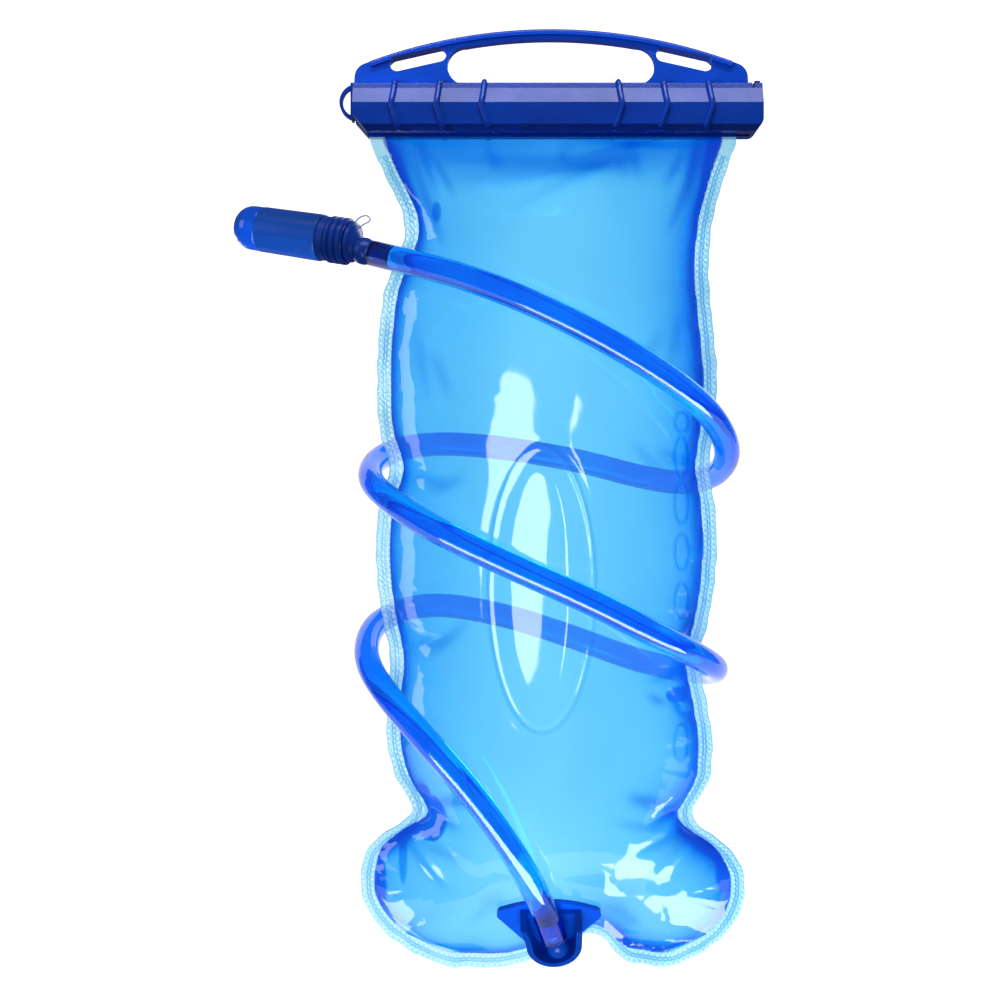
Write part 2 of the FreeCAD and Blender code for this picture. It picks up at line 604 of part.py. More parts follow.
def cap_sleeve():
    """The open barrel of the dust cap, with two flat finger grips."""
    profile = [(SLEEVE_START, SLEEVE_BORE), (SLEEVE_START, SLEEVE_RADIUS - 0.5),
               (SLEEVE_START + 0.6, SLEEVE_RADIUS), (SLEEVE_END - 0.4, SLEEVE_RADIUS - 0.3),
               (SLEEVE_END, SLEEVE_RADIUS - 0.7), (SLEEVE_END, SLEEVE_BORE)]
    sleeve = turned(profile)
    down = unit(V(0, 0, -1) + VALVE_AXIS * VALVE_AXIS.z)
    front = VALVE_AXIS.cross(down)
    front = front * (-1.0 if front.y > 0 else 1.0)
    facing = unit(front * 0.77 + down * 0.64)
    for normal in (facing, facing * -1.0):
        flat = Part.makeBox(30.0, 30.0, 5.0, V(-15.0, SLEEVE_START + 2.4, SLEEVE_FLAT))
        turn = FreeCAD.Rotation(VALVE_AXIS.cross(normal), VALVE_AXIS, normal, "YZX")
        flat.Placement = FreeCAD.Placement(VALVE_ORIGIN, turn)
        sleeve = sleeve.cut(flat)
    return sleeve.removeSplitter()


def cap_end():
    """The domed end of the dust cap, plugged into the barrel."""
    steps = 7
    rise = DOME_END - SLEEVE_END - 5.0
    dome = [(DOME_END - rise + rise * math.sin(math.radians(90.0 * i / steps)),
             DOME_RADIUS * math.cos(math.radians(90.0 * i / steps))) for i in range(steps)]
    profile = [(SLEEVE_END - 4.0, 0), (SLEEVE_END - 4.0, SLEEVE_BORE), (SLEEVE_END, SLEEVE_BORE),
               (SLEEVE_END, DOME_RADIUS - 0.3), (SLEEVE_END + 0.5, DOME_RADIUS)] + dome + [(DOME_END, 0)]
    hollow = [(SLEEVE_END - 5.0, 0), (SLEEVE_END - 5.0, 7.3), (SLEEVE_END + 6.0, 7.0), (DOME_END - 3.2, 4.2),
              (DOME_END - 2.0, 0)]
    return turned(profile).cut(turned(hollow)).removeSplitter()


def cap_tether():
    """A thin loop of strand that stands up behind the collar, both ends moulded into the stem."""
    side = unit(V(0, 0, 1) - VALVE_AXIS * VALVE_AXIS.z)
    points = [on_axis(16.2) + side * 7.6, on_axis(16.2) + side * 9.6, V(-84.0, -10.3, -80.9),
              V(-81.2, -10.5, -81.0), V(-80.4, -10.6, -82.4), V(-82.9, -10.6, -84.3), V(-85.6, -10.3, -86.2),
              V(-87.2, -9.9, -88.0)]
    loop = Part.BSplineCurve()
    loop.interpolate(points)
    section = Part.Wire(Part.makeCircle(TETHER_RADIUS, points[0], loop.tangent(loop.FirstParameter)[0]))
    return Part.Wire(loop.toShape()).makePipeShell([section], True, False)


# ---------------------------------------------------------------- write every node
def main():
    flange = outlet_flange()
    front = film(-1.0).cut([flange, on_slope(outward(BOSS_RADIUS, -8.0, 20.0))])
    save("closure_channel", closure_channel())
    save("carry_handle", carry_handle())
    save("channel_end_cap", channel_end_cap())
    save("sealing_rail", sealing_rail())
    save("rail_pull_loop", rail_pull_loop())
    save("folded_hem", folded_hem())
    save("front_film", front)
    save("back_film", film(1.0))
    save("outlet_flange", flange)
    save("outlet_elbow", outlet_elbow())
    save("elbow_o_ring", elbow_o_ring())
    save("drink_tube", drink_tube())
    save("valve_stem", valve_stem())
    save("stem_o_rings", stem_o_rings())
    save("shutoff_collar", shutoff_collar())
    save("bite_mouthpiece", bite_mouthpiece())
    save("cap_sleeve", cap_sleeve())
    save("cap_end", cap_end())
    save("cap_tether", cap_tether())


main()
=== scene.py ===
"""Hydration bladder: soft films, weld band, drink tube and finishes around the CAD frame.

The scene is in metres, +Z up. Outlines, creases and routes are written in millimetres.
"""
import math

import bpy
import numpy as np
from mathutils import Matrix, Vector


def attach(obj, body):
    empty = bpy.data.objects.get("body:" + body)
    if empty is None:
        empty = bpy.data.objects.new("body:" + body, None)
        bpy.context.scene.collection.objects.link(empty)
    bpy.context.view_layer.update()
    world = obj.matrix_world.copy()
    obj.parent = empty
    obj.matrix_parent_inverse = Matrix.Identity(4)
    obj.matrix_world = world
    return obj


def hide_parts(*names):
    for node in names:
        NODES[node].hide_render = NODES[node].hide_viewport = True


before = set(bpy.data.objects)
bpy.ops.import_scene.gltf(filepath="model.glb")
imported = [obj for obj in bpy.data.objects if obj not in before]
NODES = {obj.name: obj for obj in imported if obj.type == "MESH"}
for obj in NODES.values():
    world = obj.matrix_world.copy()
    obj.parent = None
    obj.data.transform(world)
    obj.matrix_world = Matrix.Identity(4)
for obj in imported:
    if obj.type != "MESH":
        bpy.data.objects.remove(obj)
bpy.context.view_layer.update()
MM = 0.001
MOST_PHASE = 6.28

# ---------------------------------------------------------------- camera
VIEW_DISTANCE = 0.650
VIEW_WIDTH = 0.450
SENSOR = 36.0
VIEW_CENTRE = (-0.02295, -0.20655)


def add_camera():
    """A level view of the front."""
    data = bpy.data.cameras.new("view")
    data.sensor_width = SENSOR
    data.lens = SENSOR * VIEW_DISTANCE / VIEW_WIDTH
    camera = bpy.data.objects.new("view", data)
    camera.location = (VIEW_CENTRE[0], -VIEW_DISTANCE, VIEW_CENTRE[1])
    camera.rotation_euler = (math.radians(90.0), 0.0, 0.0)
    bpy.context.scene.collection.objects.link(camera)
    bpy.context.scene.camera = camera


# ---------------------------------------------------------------- small tools
def link(obj):
    """Put an object in the scene."""
    bpy.context.scene.collection.objects.link(obj)
    return obj


def give(obj, material):
    """One material for the whole object."""
    obj.data.materials.clear()
    obj.data.materials.append(material)


def mesh_object(name, verts, faces):
    """A smooth-shaded mesh in the scene."""
    mesh = bpy.data.meshes.new(name)
    mesh.from_pydata([tuple(v) for v in verts], [], [tuple(f) for f in faces])
    mesh.validate()
    mesh.update()
    mesh.polygons.foreach_set("use_smooth", [True] * len(mesh.polygons))
    return link(bpy.data.objects.new(name, mesh))


def grid_faces(rows, cols, closed=False, flip=False):
    """Quads of a rows by cols grid of points; closed joins the last column to the first."""
    span = cols if closed else cols - 1
    r, c = np.meshgrid(np.arange(rows - 1), np.arange(span), indexing="ij")
    a = r * cols + c
    b = r * cols + (c + 1) % cols
    quads = np.stack([a, b, b + cols, a + cols], -1).reshape(-1, 4)
    return quads[:, ::-1] if flip else quads


def paint(obj, name, values):
    """A number per vertex that the materials read."""
    layer = obj.data.attributes.new(name, "FLOAT", "POINT")
    layer.data.foreach_set("value", np.asarray(values, np.float32).ravel())


def hermite(places, values, x):
    """Smooth curve through a few points."""
    p = np.asarray(places, float)
    v = np.asarray(values, float)
    step = np.diff(p)
    slope = np.diff(v) / step
    tangent = np.zeros_like(v)
    tangent[0] = slope[0]
    tangent[-1] = slope[-1]
    inner = (slope[:-1] * step[1:] + slope[1:] * step[:-1]) / (step[1:] + step[:-1])
    tangent[1:-1] = inner
    x = np.clip(np.asarray(x, float), p[0], p[-1])
    i = np.clip(np.searchsorted(p, x, side="right") - 1, 0, len(p) - 2)
    t = (x - p[i]) / step[i]
    h = step[i]
    return ((1 + 2 * t) * (1 - t) ** 2 * v[i] + t * (1 - t) ** 2 * h * tangent[i]
            + t * t * (3 - 2 * t) * v[i + 1] + t * t * (t - 1) * h * tangent[i + 1])


def ease(x, low, high):
    """A soft step from 0 at low to 1 at high."""
    t = np.clip((x - low) / (high - low), 0.0, 1.0)
    return t * t * (3.0 - 2.0 * t)


def waves(s, lengths, seed):
    """The mean of sines of different lengths with seeded random phases and strengths."""
    rng = np.random.default_rng(seed)
    total = np.zeros_like(np.asarray(s, float))
    for length in lengths:
        total += rng.uniform(0.5, 1.0) * np.sin(2 * math.pi * s / length + rng.uniform(0, MOST_PHASE))
    return total / len(lengths)


# ---------------------------------------------------------------- materials
FLOW_MARKS = 0.16
MOST_SHINE = 0.05


class Nodes:
    """A thin wrapper that keeps the material functions short."""

    def __init__(self, name):
        self.material = bpy.data.materials.new(name)
        self.material.use_nodes = True
        self.tree = self.material.node_tree
        self.tree.nodes.clear()

    def add(self, kind, sockets=None, **settings):
        node = self.tree.nodes.new(kind)
        for key, value in settings.items():
            setattr(node, key, value)
        for key, value in (sockets or {}).items():
            self.plug(node, key, value)
        return node

    def plug(self, node, key, value):
        if isinstance(value, bpy.types.Node):
            value = value.outputs[0]
        if isinstance(value, bpy.types.NodeSocket):
            self.tree.links.new(value, node.inputs[key])
        else:
            node.inputs[key].default_value = value

    def maths(self, operation, a, b=0.0, clamp=False):
        return self.add("ShaderNodeMath", {0: a, 1: b}, operation=operation, use_clamp=clamp)

    def mix(self, factor, a, b):
        node = self.add("ShaderNodeMix", {0: factor}, data_type="RGBA")
        self.plug(node, 6, a)
        self.plug(node, 7, b)
        return node.outputs[2]

    def ramp(self, value, stops):
        node = self.add("ShaderNodeValToRGB", {0: value})
        bar = node.color_ramp
        while len(bar.elements) < len(stops):
            bar.elements.new(0.5)
        for element, (place, colour) in zip(bar.elements, stops):
            element.position = place
            element.color = (*colour, 1.0)
        return node.outputs[0]

    def attribute(self, name):
        return self.add("ShaderNodeAttribute", attribute_name=name).outputs["Fac"]

    def noise(self, scale, detail=3.0, stretch=(1.0, 1.0, 1.0)):
        where = self.add("ShaderNodeTexCoord").outputs["Object"]
        mapped = self.add("ShaderNodeMapping", {"Vector": where, "Scale": stretch})
        grain = self.add("ShaderNodeTexNoise", {"Vector": mapped, "Scale": scale, "Detail": detail})
        return grain.outputs["Fac"]

    def bump(self, height, strength, distance):
        node = self.add("ShaderNodeBump", {"Height": height, "Strength": strength, "Distance": distance})
        return node.outputs[0]

    def finish(self, shader):
        self.add("ShaderNodeOutputMaterial", {"Surface": shader})
        return self.material


def moulded_plastic(name, colour, roughness=0.26):
    """Glossy moulded polypropylene with faint flow marks and a fine orange-peel skin."""
    n = Nodes(name)
    flow = n.noise(26.0, 4.0, (1.0, 1.0, 2.5))
    dark = tuple(c * (1.0 - FLOW_MARKS) for c in colour)
    light = tuple(min(1.0, c * (1.0 + FLOW_MARKS)) for c in colour)
    base = n.ramp(flow, [(0.3, dark), (0.7, light)])
    fine = n.noise(900.0, 2.0)
    rough = n.add("ShaderNodeMapRange", {
        "Value": n.noise(60.0, 3.0), "To Min": roughness - 0.05, "To Max": roughness + 0.08})
    shader = n.add("ShaderNodeBsdfPrincipled", {
        "Base Color": base, "Roughness": rough, "IOR": 1.49, "Specular IOR Level": 0.34,
        "Normal": n.bump(fine, 0.12, 0.0004)})
    return n.finish(shader)


def see_through(n, tint, haze, haze_share, gloss_rough, shine, normal=None):
    """Clear coloured film: a tinted view through, a little scattering, and a glossy skin on top."""
    clear = n.add("ShaderNodeBsdfTransparent", {"Color": tint})
    milky = n.add("ShaderNodeBsdfPrincipled", {
        "Base Color": haze, "Roughness": 0.5, "Specular IOR Level": 0.0})
    body = n.add("ShaderNodeMixShader", {0: haze_share, 1: clear, 2: milky})
    skin = n.add("ShaderNodeBsdfPrincipled", {
        "Base Color": (1, 1, 1, 1), "Metallic": 1.0, "Roughness": gloss_rough})
    edge = n.add("ShaderNodeFresnel", {"IOR": 1.45})
    if normal is not None:
        n.plug(milky, "Normal", normal)
        n.plug(skin, "Normal", normal)
        n.plug(edge, "Normal", normal)
    share = n.maths("MINIMUM", n.maths("MULTIPLY", edge, shine), MOST_SHINE)
    return n.finish(n.add("ShaderNodeMixShader", {0: share, 1: body, 2: skin}))


def film_material():
    """Clear blue film, deeper towards the weld and, as painted shade, in folds, paler where it bulges."""
    n = Nodes("clear_film")
    cloud = n.noise(11.0, 3.0, (1.0, 1.0, 0.6))
    drift = n.maths("MULTIPLY", n.maths("SUBTRACT", cloud, 0.5), 0.40)
    deep = n.maths("ADD", n.attribute("depth"), drift, clamp=True)
    tint = n.ramp(deep, [(0.0, (0.46, 0.86, 0.99)), (0.35, (0.24, 0.68, 0.98)),
                         (0.7, (0.03, 0.42, 0.95)), (1.0, (0.002, 0.22, 0.88))])
    haze = n.ramp(deep, [(0.0, (0.25, 0.72, 0.98)), (0.6, (0.02, 0.40, 0.97)), (1.0, (0.0, 0.14, 0.80))])
    share = n.add("ShaderNodeMapRange", {"Value": deep, "To Min": 0.12, "To Max": 0.40})
    broad = n.noise(30.0, 3.0, (1.0, 1.0, 0.45))
    return see_through(n, tint, haze, share.outputs[0], 0.05, 1.5, n.bump(broad, 0.25, 0.0022))


def weld_material():
    """Pale pressed weld with a diamond emboss: the tops are frosted, the grooves bluer."""
    n = Nodes("weld_band")
    relief = n.attribute("relief")
    streak = n.noise(55.0, 3.0, (1.0, 1.0, 0.4))
    tone = n.maths("ADD", n.maths("MULTIPLY", relief, 0.8), n.maths("MULTIPLY", streak, 0.4), clamp=True)
    tint = n.ramp(tone, [(0.05, (0.16, 0.55, 0.90)), (0.45, (0.50, 0.84, 0.97)), (1.0, (0.84, 0.97, 1.0))])
    haze = n.ramp(tone, [(0.05, (0.14, 0.50, 0.86)), (0.5, (0.50, 0.84, 0.97)), (1.0, (0.88, 0.98, 1.0))])
    return see_through(n, tint, haze, 0.40, 0.12, 1.0, n.bump(n.noise(500.0), 0.15, 0.0003))


def hem_material():
    """Two layers of the film, folded over and welded."""
    n = Nodes("hem_film")
    tint = n.ramp(n.noise(30.0, 3.0), [(0.3, (0.06, 0.35, 0.9)), (0.7, (0.12, 0.5, 0.95))])
    return see_through(n, tint, (0.01, 0.22, 0.9, 1), 0.4, 0.1, 1.0)


def tube_material(name, pale, deep, bend):
    """Refracting clear blue vinyl, a little uneven along its length and deeper at the side bends as painted
    shade.
    """
    n = Nodes(name)
    wall = n.ramp(n.noise(38.0, 2.0), [(0.35, deep), (0.65, pale)])
    place = n.add("ShaderNodeSeparateXYZ", {0: n.add("ShaderNodeTexCoord").outputs["Object"]})
    sideways = n.maths("ABSOLUTE", place.outputs["X"])
    outside = n.add("ShaderNodeMapRange", {
        "Value": sideways, "From Min": BEND_FROM, "From Max": BEND_TO})
    base = n.mix(outside, wall, (*bend, 1.0))
    shader = n.add("ShaderNodeBsdfPrincipled", {
        "Base Color": base, "Roughness": 0.03, "IOR": 1.40, "Transmission Weight": 1.0,
        "Specular IOR Level": 0.35, "Coat Weight": 0.2, "Coat IOR": 1.6, "Coat Roughness": 0.04,
        "Normal": n.bump(n.noise(240.0, 2.0), 0.05, 0.0004)})
    return n.finish(shader)


def seal_rubber():
    """Matt black O-ring rubber."""
    n = Nodes("seal_rubber")
    base = n.ramp(n.noise(90.0, 4.0), [(0.3, (0.016, 0.016, 0.02)), (0.7, (0.02, 0.02, 0.025))])
    shader = n.add("ShaderNodeBsdfPrincipled", {
        "Base Color": base, "Roughness": 0.55, "Specular IOR Level": 0.4,
        "Normal": n.bump(n.noise(700.0), 0.2, 0.0003)})
    return n.finish(shader)


def silicone():
    """Satin translucent silicone of the mouthpiece."""
    n = Nodes("silicone")
    base = n.ramp(n.noise(40.0, 3.0), [(0.3, (0.10, 0.34, 0.80)), (0.7, (0.20, 0.48, 0.90))])
    shader = n.add("ShaderNodeBsdfPrincipled", {
        "Base Color": base, "Roughness": 0.38, "Subsurface Weight": 0.25, "Subsurface Scale": 0.004,
        "Normal": n.bump(n.noise(600.0), 0.1, 0.0003)})
    return n.finish(shader)


# ---------------------------------------------------------------- pouch, all in millimetres
SEAM = 7.0                      # width of the weld band
BAND_HALF = 0.45                # half its thickness
EMBOSS_PITCH = 2.6              # between its diamonds, and how far they stand out
EMBOSS_RISE = 0.34
INSET = 0.9 * SEAM              # where the free film starts, a little under the band's inner edge
FILM = 0.35                     # from the mid plane to the film's outer face
FILM_TOP = -38.5
LINE_STEP = 0.5                 # between the points of the pouch's outline
MOST_SWELL = 31.5
MIDDLE_X = 1.0                  # the column that the pouch's fullness is given for
LEAST_MIDDLE = 16.0
ROUNDING = 0.66                 # how boxy the filled section is: 1 is the membrane's own shape
MOST_ROUNDING = 1.06
PUCKER = 1.6                    # height of the puckers beside the weld, and how far in they reach
PUCKER_REACH = 11.0
WELD_TOP = -42.0                # where the side welds come out from under the bar
SWELL_TOP = -42.5
# height, left edge, right edge, half thickness of the filled pouch
POUCH = np.array((
    (-38.0, -80.0, 82.0, 0.8), (-44.2, -82.0, 83.5, 0.9), (-50.0, -79.5, 82.0, 3.5),
    (-58.0, -76.0, 79.0, 7.5), (-70.0, -70.0, 75.4, 14.0), (-78.0, -66.6, 73.1, 18.0),
    (-87.0, -65.8, 71.8, 21.0), (-99.0, -70.0, 71.0, 24.0), (-112.0, -74.8, 71.3, 26.5),
    (-125.0, -76.8, 72.5, 28.2), (-150.0, -78.2, 74.6, 29.6), (-176.0, -77.0, 73.2, 29.8),
    (-192.0, -72.6, 71.2, 29.8), (-208.0, -77.0, 73.6, 29.8), (-240.0, -78.4, 74.0, 29.8),
    (-258.0, -76.0, 71.3, 29.8), (-278.0, -72.5, 66.8, 29.8), (-298.0, -74.0, 70.2, 29.6),
    (-321.0, -72.9, 72.7, 28.8), (-335.0, -68.0, 70.0, 27.8), (-342.0, -63.4, 65.8, 27.2),
    (-348.0, -62.2, 63.0, 26.5), (-354.0, -72.0, 67.5, 25.6), (-361.0, -81.0, 78.0, 24.0),
    (-372.0, -85.2, 85.8, 19.8), (-385.0, -84.9, 86.9, 14.8), (-395.0, -79.8, 84.0, 9.8),
    (-402.0, -73.6, 79.0, 5.4), (-409.0, -63.0, 71.0, 1.0), (-416.0, -46.0, 56.0, 0.8)))
LOWER_START = -380.0
LOWER_END = -416.0
# the bottom edge from left to right, with the notch beside the outlet
BOTTOM = np.array((
    (-90, -416.4), (-40, -416.8), (-20, -416.2), (-10, -413.5), (0, -409.5), (9, -404.5), (15, -401.8),
    (19, -401.2), (23, -403.0), (28, -409.0), (33, -413.4), (42, -415.2), (90, -415.0)))


def edge_left(z):
    """Where the pouch's left edge is at a height."""
    return hermite(-POUCH[:, 0], POUCH[:, 1], -z)


def edge_right(z):
    """Where the pouch's right edge is at a height."""
    return hermite(-POUCH[:, 0], POUCH[:, 2], -z)


def fullness(z):
    """Half the filled pouch's thickness at a height."""
    return hermite(-POUCH[:, 0], POUCH[:, 3], -z)


def lowness(z):
    """How far down the lower rows a height is: 0 above them, 1 at the last one."""
    return np.clip((LOWER_START - z) / (LOWER_START - LOWER_END), 0.0, 1.0)


def settle(x, z):
    """Height of a grid row after the lower rows are fitted to the bottom edge."""
    share = lowness(z)
    bottom = hermite(BOTTOM[:, 0], BOTTOM[:, 1], x)
    return np.where(z < LOWER_START, LOWER_START + (bottom - LOWER_START) * share, z)


def outline():
    """The pouch's outer edge, evenly spaced, from the top left down, along the bottom and up the right."""
    down = np.linspace(WELD_TOP, LOWER_END, 420)
    left = np.stack([edge_left(down), settle(edge_left(down), down)], -1)
    x = np.linspace(edge_left(LOWER_END), edge_right(LOWER_END), 160)[1:-1]
    low = np.stack([x, settle(x, np.full_like(x, LOWER_END))], -1)
    right = np.stack([edge_right(down), settle(edge_right(down), down)], -1)[::-1]
    points = np.concatenate([left, low, right])
    for _ in range(12):
        points[1:-1] = (points[:-2] + 2 * points[1:-1] + points[2:]) / 4.0
    length = np.concatenate([[0], np.cumsum(np.linalg.norm(np.diff(points, axis=0), axis=1))])
    count = int(length[-1] / LINE_STEP)
    s = np.linspace(0, length[-1], count)
    return np.stack([np.interp(s, length, points[:, 0]), np.interp(s, length, points[:, 1])], -1), s


def inward_normals(points):
    """Directions from the outline towards the middle of the pouch."""
    tangent = np.gradient(points, axis=0)
    for _ in range(20):
        tangent[1:-1] = (tangent[:-2] + 2 * tangent[1:-1] + tangent[2:]) / 4.0
    tangent /= np.linalg.norm(tangent, axis=1)[:, None]
    return np.stack([-tangent[:, 1], tangent[:, 0]], -1)


def distance_to(points, line):
    """Distance of each point from a polyline and the place along it, in steps of the line's points."""
    near = np.full(len(points), 1e9)
    place = np.zeros(len(points), int)
    for start in range(0, len(points), 4000):
        block = points[start:start + 4000]
        d2 = ((block[:, None, :] - line[None, :, :]) ** 2).sum(-1)
        place[start:start + 4000] = d2.argmin(1)
        near[start:start + 4000] = np.sqrt(d2.min(1))
    return near, place


def inflated():
    """Membrane height over the pouch's plan: a sheet held at the weld and pushed out evenly."""
    step = 1.5
    rounds = 2600
    xs = np.arange(-90.0, 90.1, step)
    zs = np.arange(-38.0, -420.1, -step)
    gx, gz = np.meshgrid(xs, zs)
    inside = (gx > edge_left(gz) + SEAM) & (gx < edge_right(gz) - SEAM)
    floor = hermite(BOTTOM[:, 0], BOTTOM[:, 1], gx) + SEAM
    inside &= (gz > floor) & (gz < SWELL_TOP)
    height = np.zeros_like(gx)
    load = step * step / 4.0
    for _ in range(rounds):
        around = (height[:-2, 1:-1] + height[2:, 1:-1] + height[1:-1, :-2] + height[1:-1, 2:]) / 4.0
        height[1:-1, 1:-1] = (around + load) * inside[1:-1, 1:-1]
    return xs, zs, height


def look_up(field, x, z):
    """Bilinear reading of a regular field."""
    xs, zs, values = field
    step = xs[1] - xs[0]
    fx = np.clip((x - xs[0]) / step, 0, len(xs) - 1.001)
    fz = np.clip((zs[0] - z) / step, 0, len(zs) - 1.001)
    i = fz.astype(int)
    j = fx.astype(int)
    u = fx - j
    v = fz - i
    return ((1 - v) * ((1 - u) * values[i, j] + u * values[i, j + 1])
            + v * ((1 - u) * values[i + 1, j] + u * values[i + 1, j + 1]))


# creases in the filled film: two ends (x, z), half width, depth; a negative depth is a ridge
CREASES = (
    ((-70, -44), (-57, -96), 2.6, 1.6), ((-60, -43), (-50, -74), 2.2, 1.0),
    ((-66, -60), (-60, -120), 3.0, -0.9), ((74, -44), (63, -92), 2.6, 1.6),
    ((66, -43), (60, -70), 2.2, 1.1), ((68, -62), (62, -118), 3.0, -0.8),
    ((-30, -43), (-24, -62), 3.0, 0.5), ((34, -43), (40, -66), 3.0, 0.6),
    ((8, -43), (4, -58), 3.5, 0.4), ((-60, -338), (-40, -352), 3.2, 1.8),
    ((-56, -346), (-34, -366), 3.0, -1.0), ((62, -340), (40, -350), 3.4, 2.0),
    ((66, -352), (46, -372), 3.0, -1.2), ((60, -352), (34, -362), 2.6, 1.0),
    ((-66, -356), (-44, -380), 2.6, 1.0), ((-62, -196), (-44, -200), 3.0, 0.8),
    ((60, -190), (44, -184), 3.0, 0.8), ((-62, -272), (-42, -266), 3.0, 0.9),
    ((-52, -54), (46, -57), 4.5, 1.1), ((-20, -66), (50, -50), 3.0, 0.7),
    ((10, -45), (62, -48), 1.8, 0.9), ((58, -280), (40, -286), 3.0, 1.0),
    ((50, -290), (62, -306), 2.4, 1.4), ((-22, -382), (-40, -396), 3.0, 0.7),
    ((24, -384), (42, -398), 3.0, 0.8), ((58, -120), (50, -150), 3.0, 0.6),
    ((-60, -130), (-54, -165), 3.0, 0.7))
RING_CENTRE = (-4.9, -245.0)
RING_AXES = (22.6, 61.0)
RING_RISE = 0.22
# the scale marks: height and half height of each oval, and their half width and column
MARKS = ((-172.4, 4.4), (-187.8, 8.8), (-208.2, 8.8), (-229.5, 8.0), (-251.0, 7.8), (-314.0, 8.4))
MARK_HALF = 3.3
MARK_X = 57.0
MARK_RISE = 0.5
TICK_RISE = 0.35
TICK_HALF = 1.5                 # half the length of a tick, and half its height
TICK_THICK = 0.45
# painted shade in small folds, and one painted highlight where the strength is negative: centre, half axes,
# how much deeper the blue is
FOLD_SHADE_PATCHES = (
    ((-51.1, -78.9), (2.1, 4.9), 0.46), ((-53.5, -347.0), (7.0, 10.0), 0.85),
    ((-57.5, -336.0), (3.4, 3.8), 0.60), ((56.5, -292.5), (6.4, 3.2), 0.95),
    ((60.0, -299.0), (3.6, 2.2), -0.25), ((77.0, -372.0), (3.8, 10.0), 0.65),
    ((-76.0, -378.0), (2.6, 11.0), 0.55), ((-66.0, -365.0), (2.0, 12.0), 0.40))
# the outlet's weld flange: height of its centre, how far that is out, its tilt,
# and the middle and half sizes of its outline
OUTLET_Z = -392.6
OUTLET_OUT = 10.5
OUTLET_TILT = 28.0
FLANGE_MIDDLE = (-1.9, -391.5)
FLANGE_HALF = (24.0, 11.5)


def crease(x, z, a, b, width, depth):
    """A groove from a to b that fades out at both ends."""
    a = np.array(a, float)
    b = np.array(b, float)
    along = b - a
    size = np.linalg.norm(along)
    t = np.clip(((x - a[0]) * along[0] + (z - a[1]) * along[1]) / size ** 2, 0.0, 1.0)
    off = np.hypot(x - a[0] - t * along[0], z - a[1] - t * along[1]) / width
    fade = np.sin(math.pi * np.clip(t * 0.92 + 0.06, 0, 1))
    return -depth * np.exp(-off * off) * fade


def oval(x, z, centre, axes):
    """Signed distance-like measure, in millimetres, from an oval line; negative inside."""
    u = (x - centre[0]) / axes[0]
    v = (z - centre[1]) / axes[1]
    r = np.sqrt(u * u + v * v) + 1e-9
    gradient = np.sqrt((u / axes[0]) ** 2 + (v / axes[1]) ** 2) / r + 1e-9
    return (r - 1.0) / gradient


def front_relief(x, z):
    """The front film's moulded details: the long oval ring and the column of scale marks."""
    d = oval(x, z, RING_CENTRE, RING_AXES)
    relief = RING_RISE * np.exp(-(d / 0.9) ** 2) - 0.10 * np.exp(-((d - 2.6) / 1.6) ** 2)
    relief += ease(-d, 0.0, 12.0)
    for height, half in MARKS:
        m = oval(x, z, (MARK_X, height), (MARK_HALF, half))
        relief += MARK_RISE * np.exp(-(m / 0.55) ** 2)
        for tick in (-0.45, 0.0, 0.45):
            inside = (np.abs(x - MARK_X) < TICK_HALF) & (np.abs(z - height - tick * half) < TICK_THICK)
            relief += TICK_RISE * inside
    return relief


def under_flange(x, z, y):
    """The front film lies flat behind the outlet's weld flange."""
    gap = 0.5
    plane = OUTLET_OUT + (z - OUTLET_Z) * math.tan(math.radians(OUTLET_TILT)) - gap
    off = (np.maximum(np.abs(x - FLANGE_MIDDLE[0]) - FLANGE_HALF[0], 0.0)
           + np.maximum(np.abs(z - FLANGE_MIDDLE[1]) - FLANGE_HALF[1], 0.0))
    share = 1.0 - ease(off, 0.0, 12.0)
    return y + (np.maximum(plane, 0.0) - y) * share


def film_depth(x, z, side, depth_in, folds):
    """How deep the film's blue is, from 0 to 1: deeper at the weld, the top, the folds and the details, where
    the top, the folds, the right side and the ring line are painted shade and the inside of the ring a
    painted highlight.
    """
    # painted shade: the deeper blue beside the weld is stronger towards the right side
    right_side = ease(x, -10.0, 40.0)
    edge = np.exp(-depth_in / 1.6) * 0.55 + np.exp(-depth_in / 7.0) * (0.10 + 0.42 * right_side)
    edge += np.exp(-depth_in / 24.0) * 0.14
    # painted shade under the bar: deeper blue along the top of the film
    top = (1.0 - ease(-z, 42.0, 68.0)) * 0.34
    # painted shade in the creases: deeper blue where the film is folded in
    crease_shade = np.clip(-folds, 0, 2) * 0.26
    pale = 0.10 * np.exp(-((x + 8) / 34.0) ** 2)
    details = 0.0
    if side < 0:
        d = oval(x, z, RING_CENTRE, RING_AXES)
        # painted shade along the ring's line, and a painted highlight just inside it
        details = 0.30 * np.exp(-((d - 0.6) / 0.7) ** 2) - 0.16 * np.exp(-((d + 1.2) / 1.0) ** 2)
        for height, half in MARKS:
            m = oval(x, z, (MARK_X, height), (MARK_HALF, half))
            details = details + 0.30 * np.exp(-(m / 0.6) ** 2)
        # painted shade in small folds; a negative strength paints a highlight
        for centre, axes, strength in FOLD_SHADE_PATCHES:
            details = details + strength * (1.0 - ease(oval(x, z, centre, axes), -0.7, 0.5))
    return np.clip(0.20 + edge + top + crease_shade + details - pale, 0.0, 1.0)


def film_grid(rows, cols):
    """Across and down places of a film's grid points, and the level that each row belongs to."""
    levels = FILM_TOP - (FILM_TOP - LOWER_END) * np.linspace(0, 1, rows)
    t = np.linspace(-1, 1, cols)
    t = 0.86 * t + 0.14 * np.sin(t * math.pi / 2)       # the columns stand closer at the sides
    gz = np.repeat(levels[:, None], cols, 1)
    left = edge_left(gz) + INSET
    right = edge_right(gz) - INSET
    x = ((left + right) / 2 + (right - left) / 2 * t[None, :]).ravel()
    gz = gz.ravel()
    return x, settle(x, gz) + INSET * lowness(gz), gz


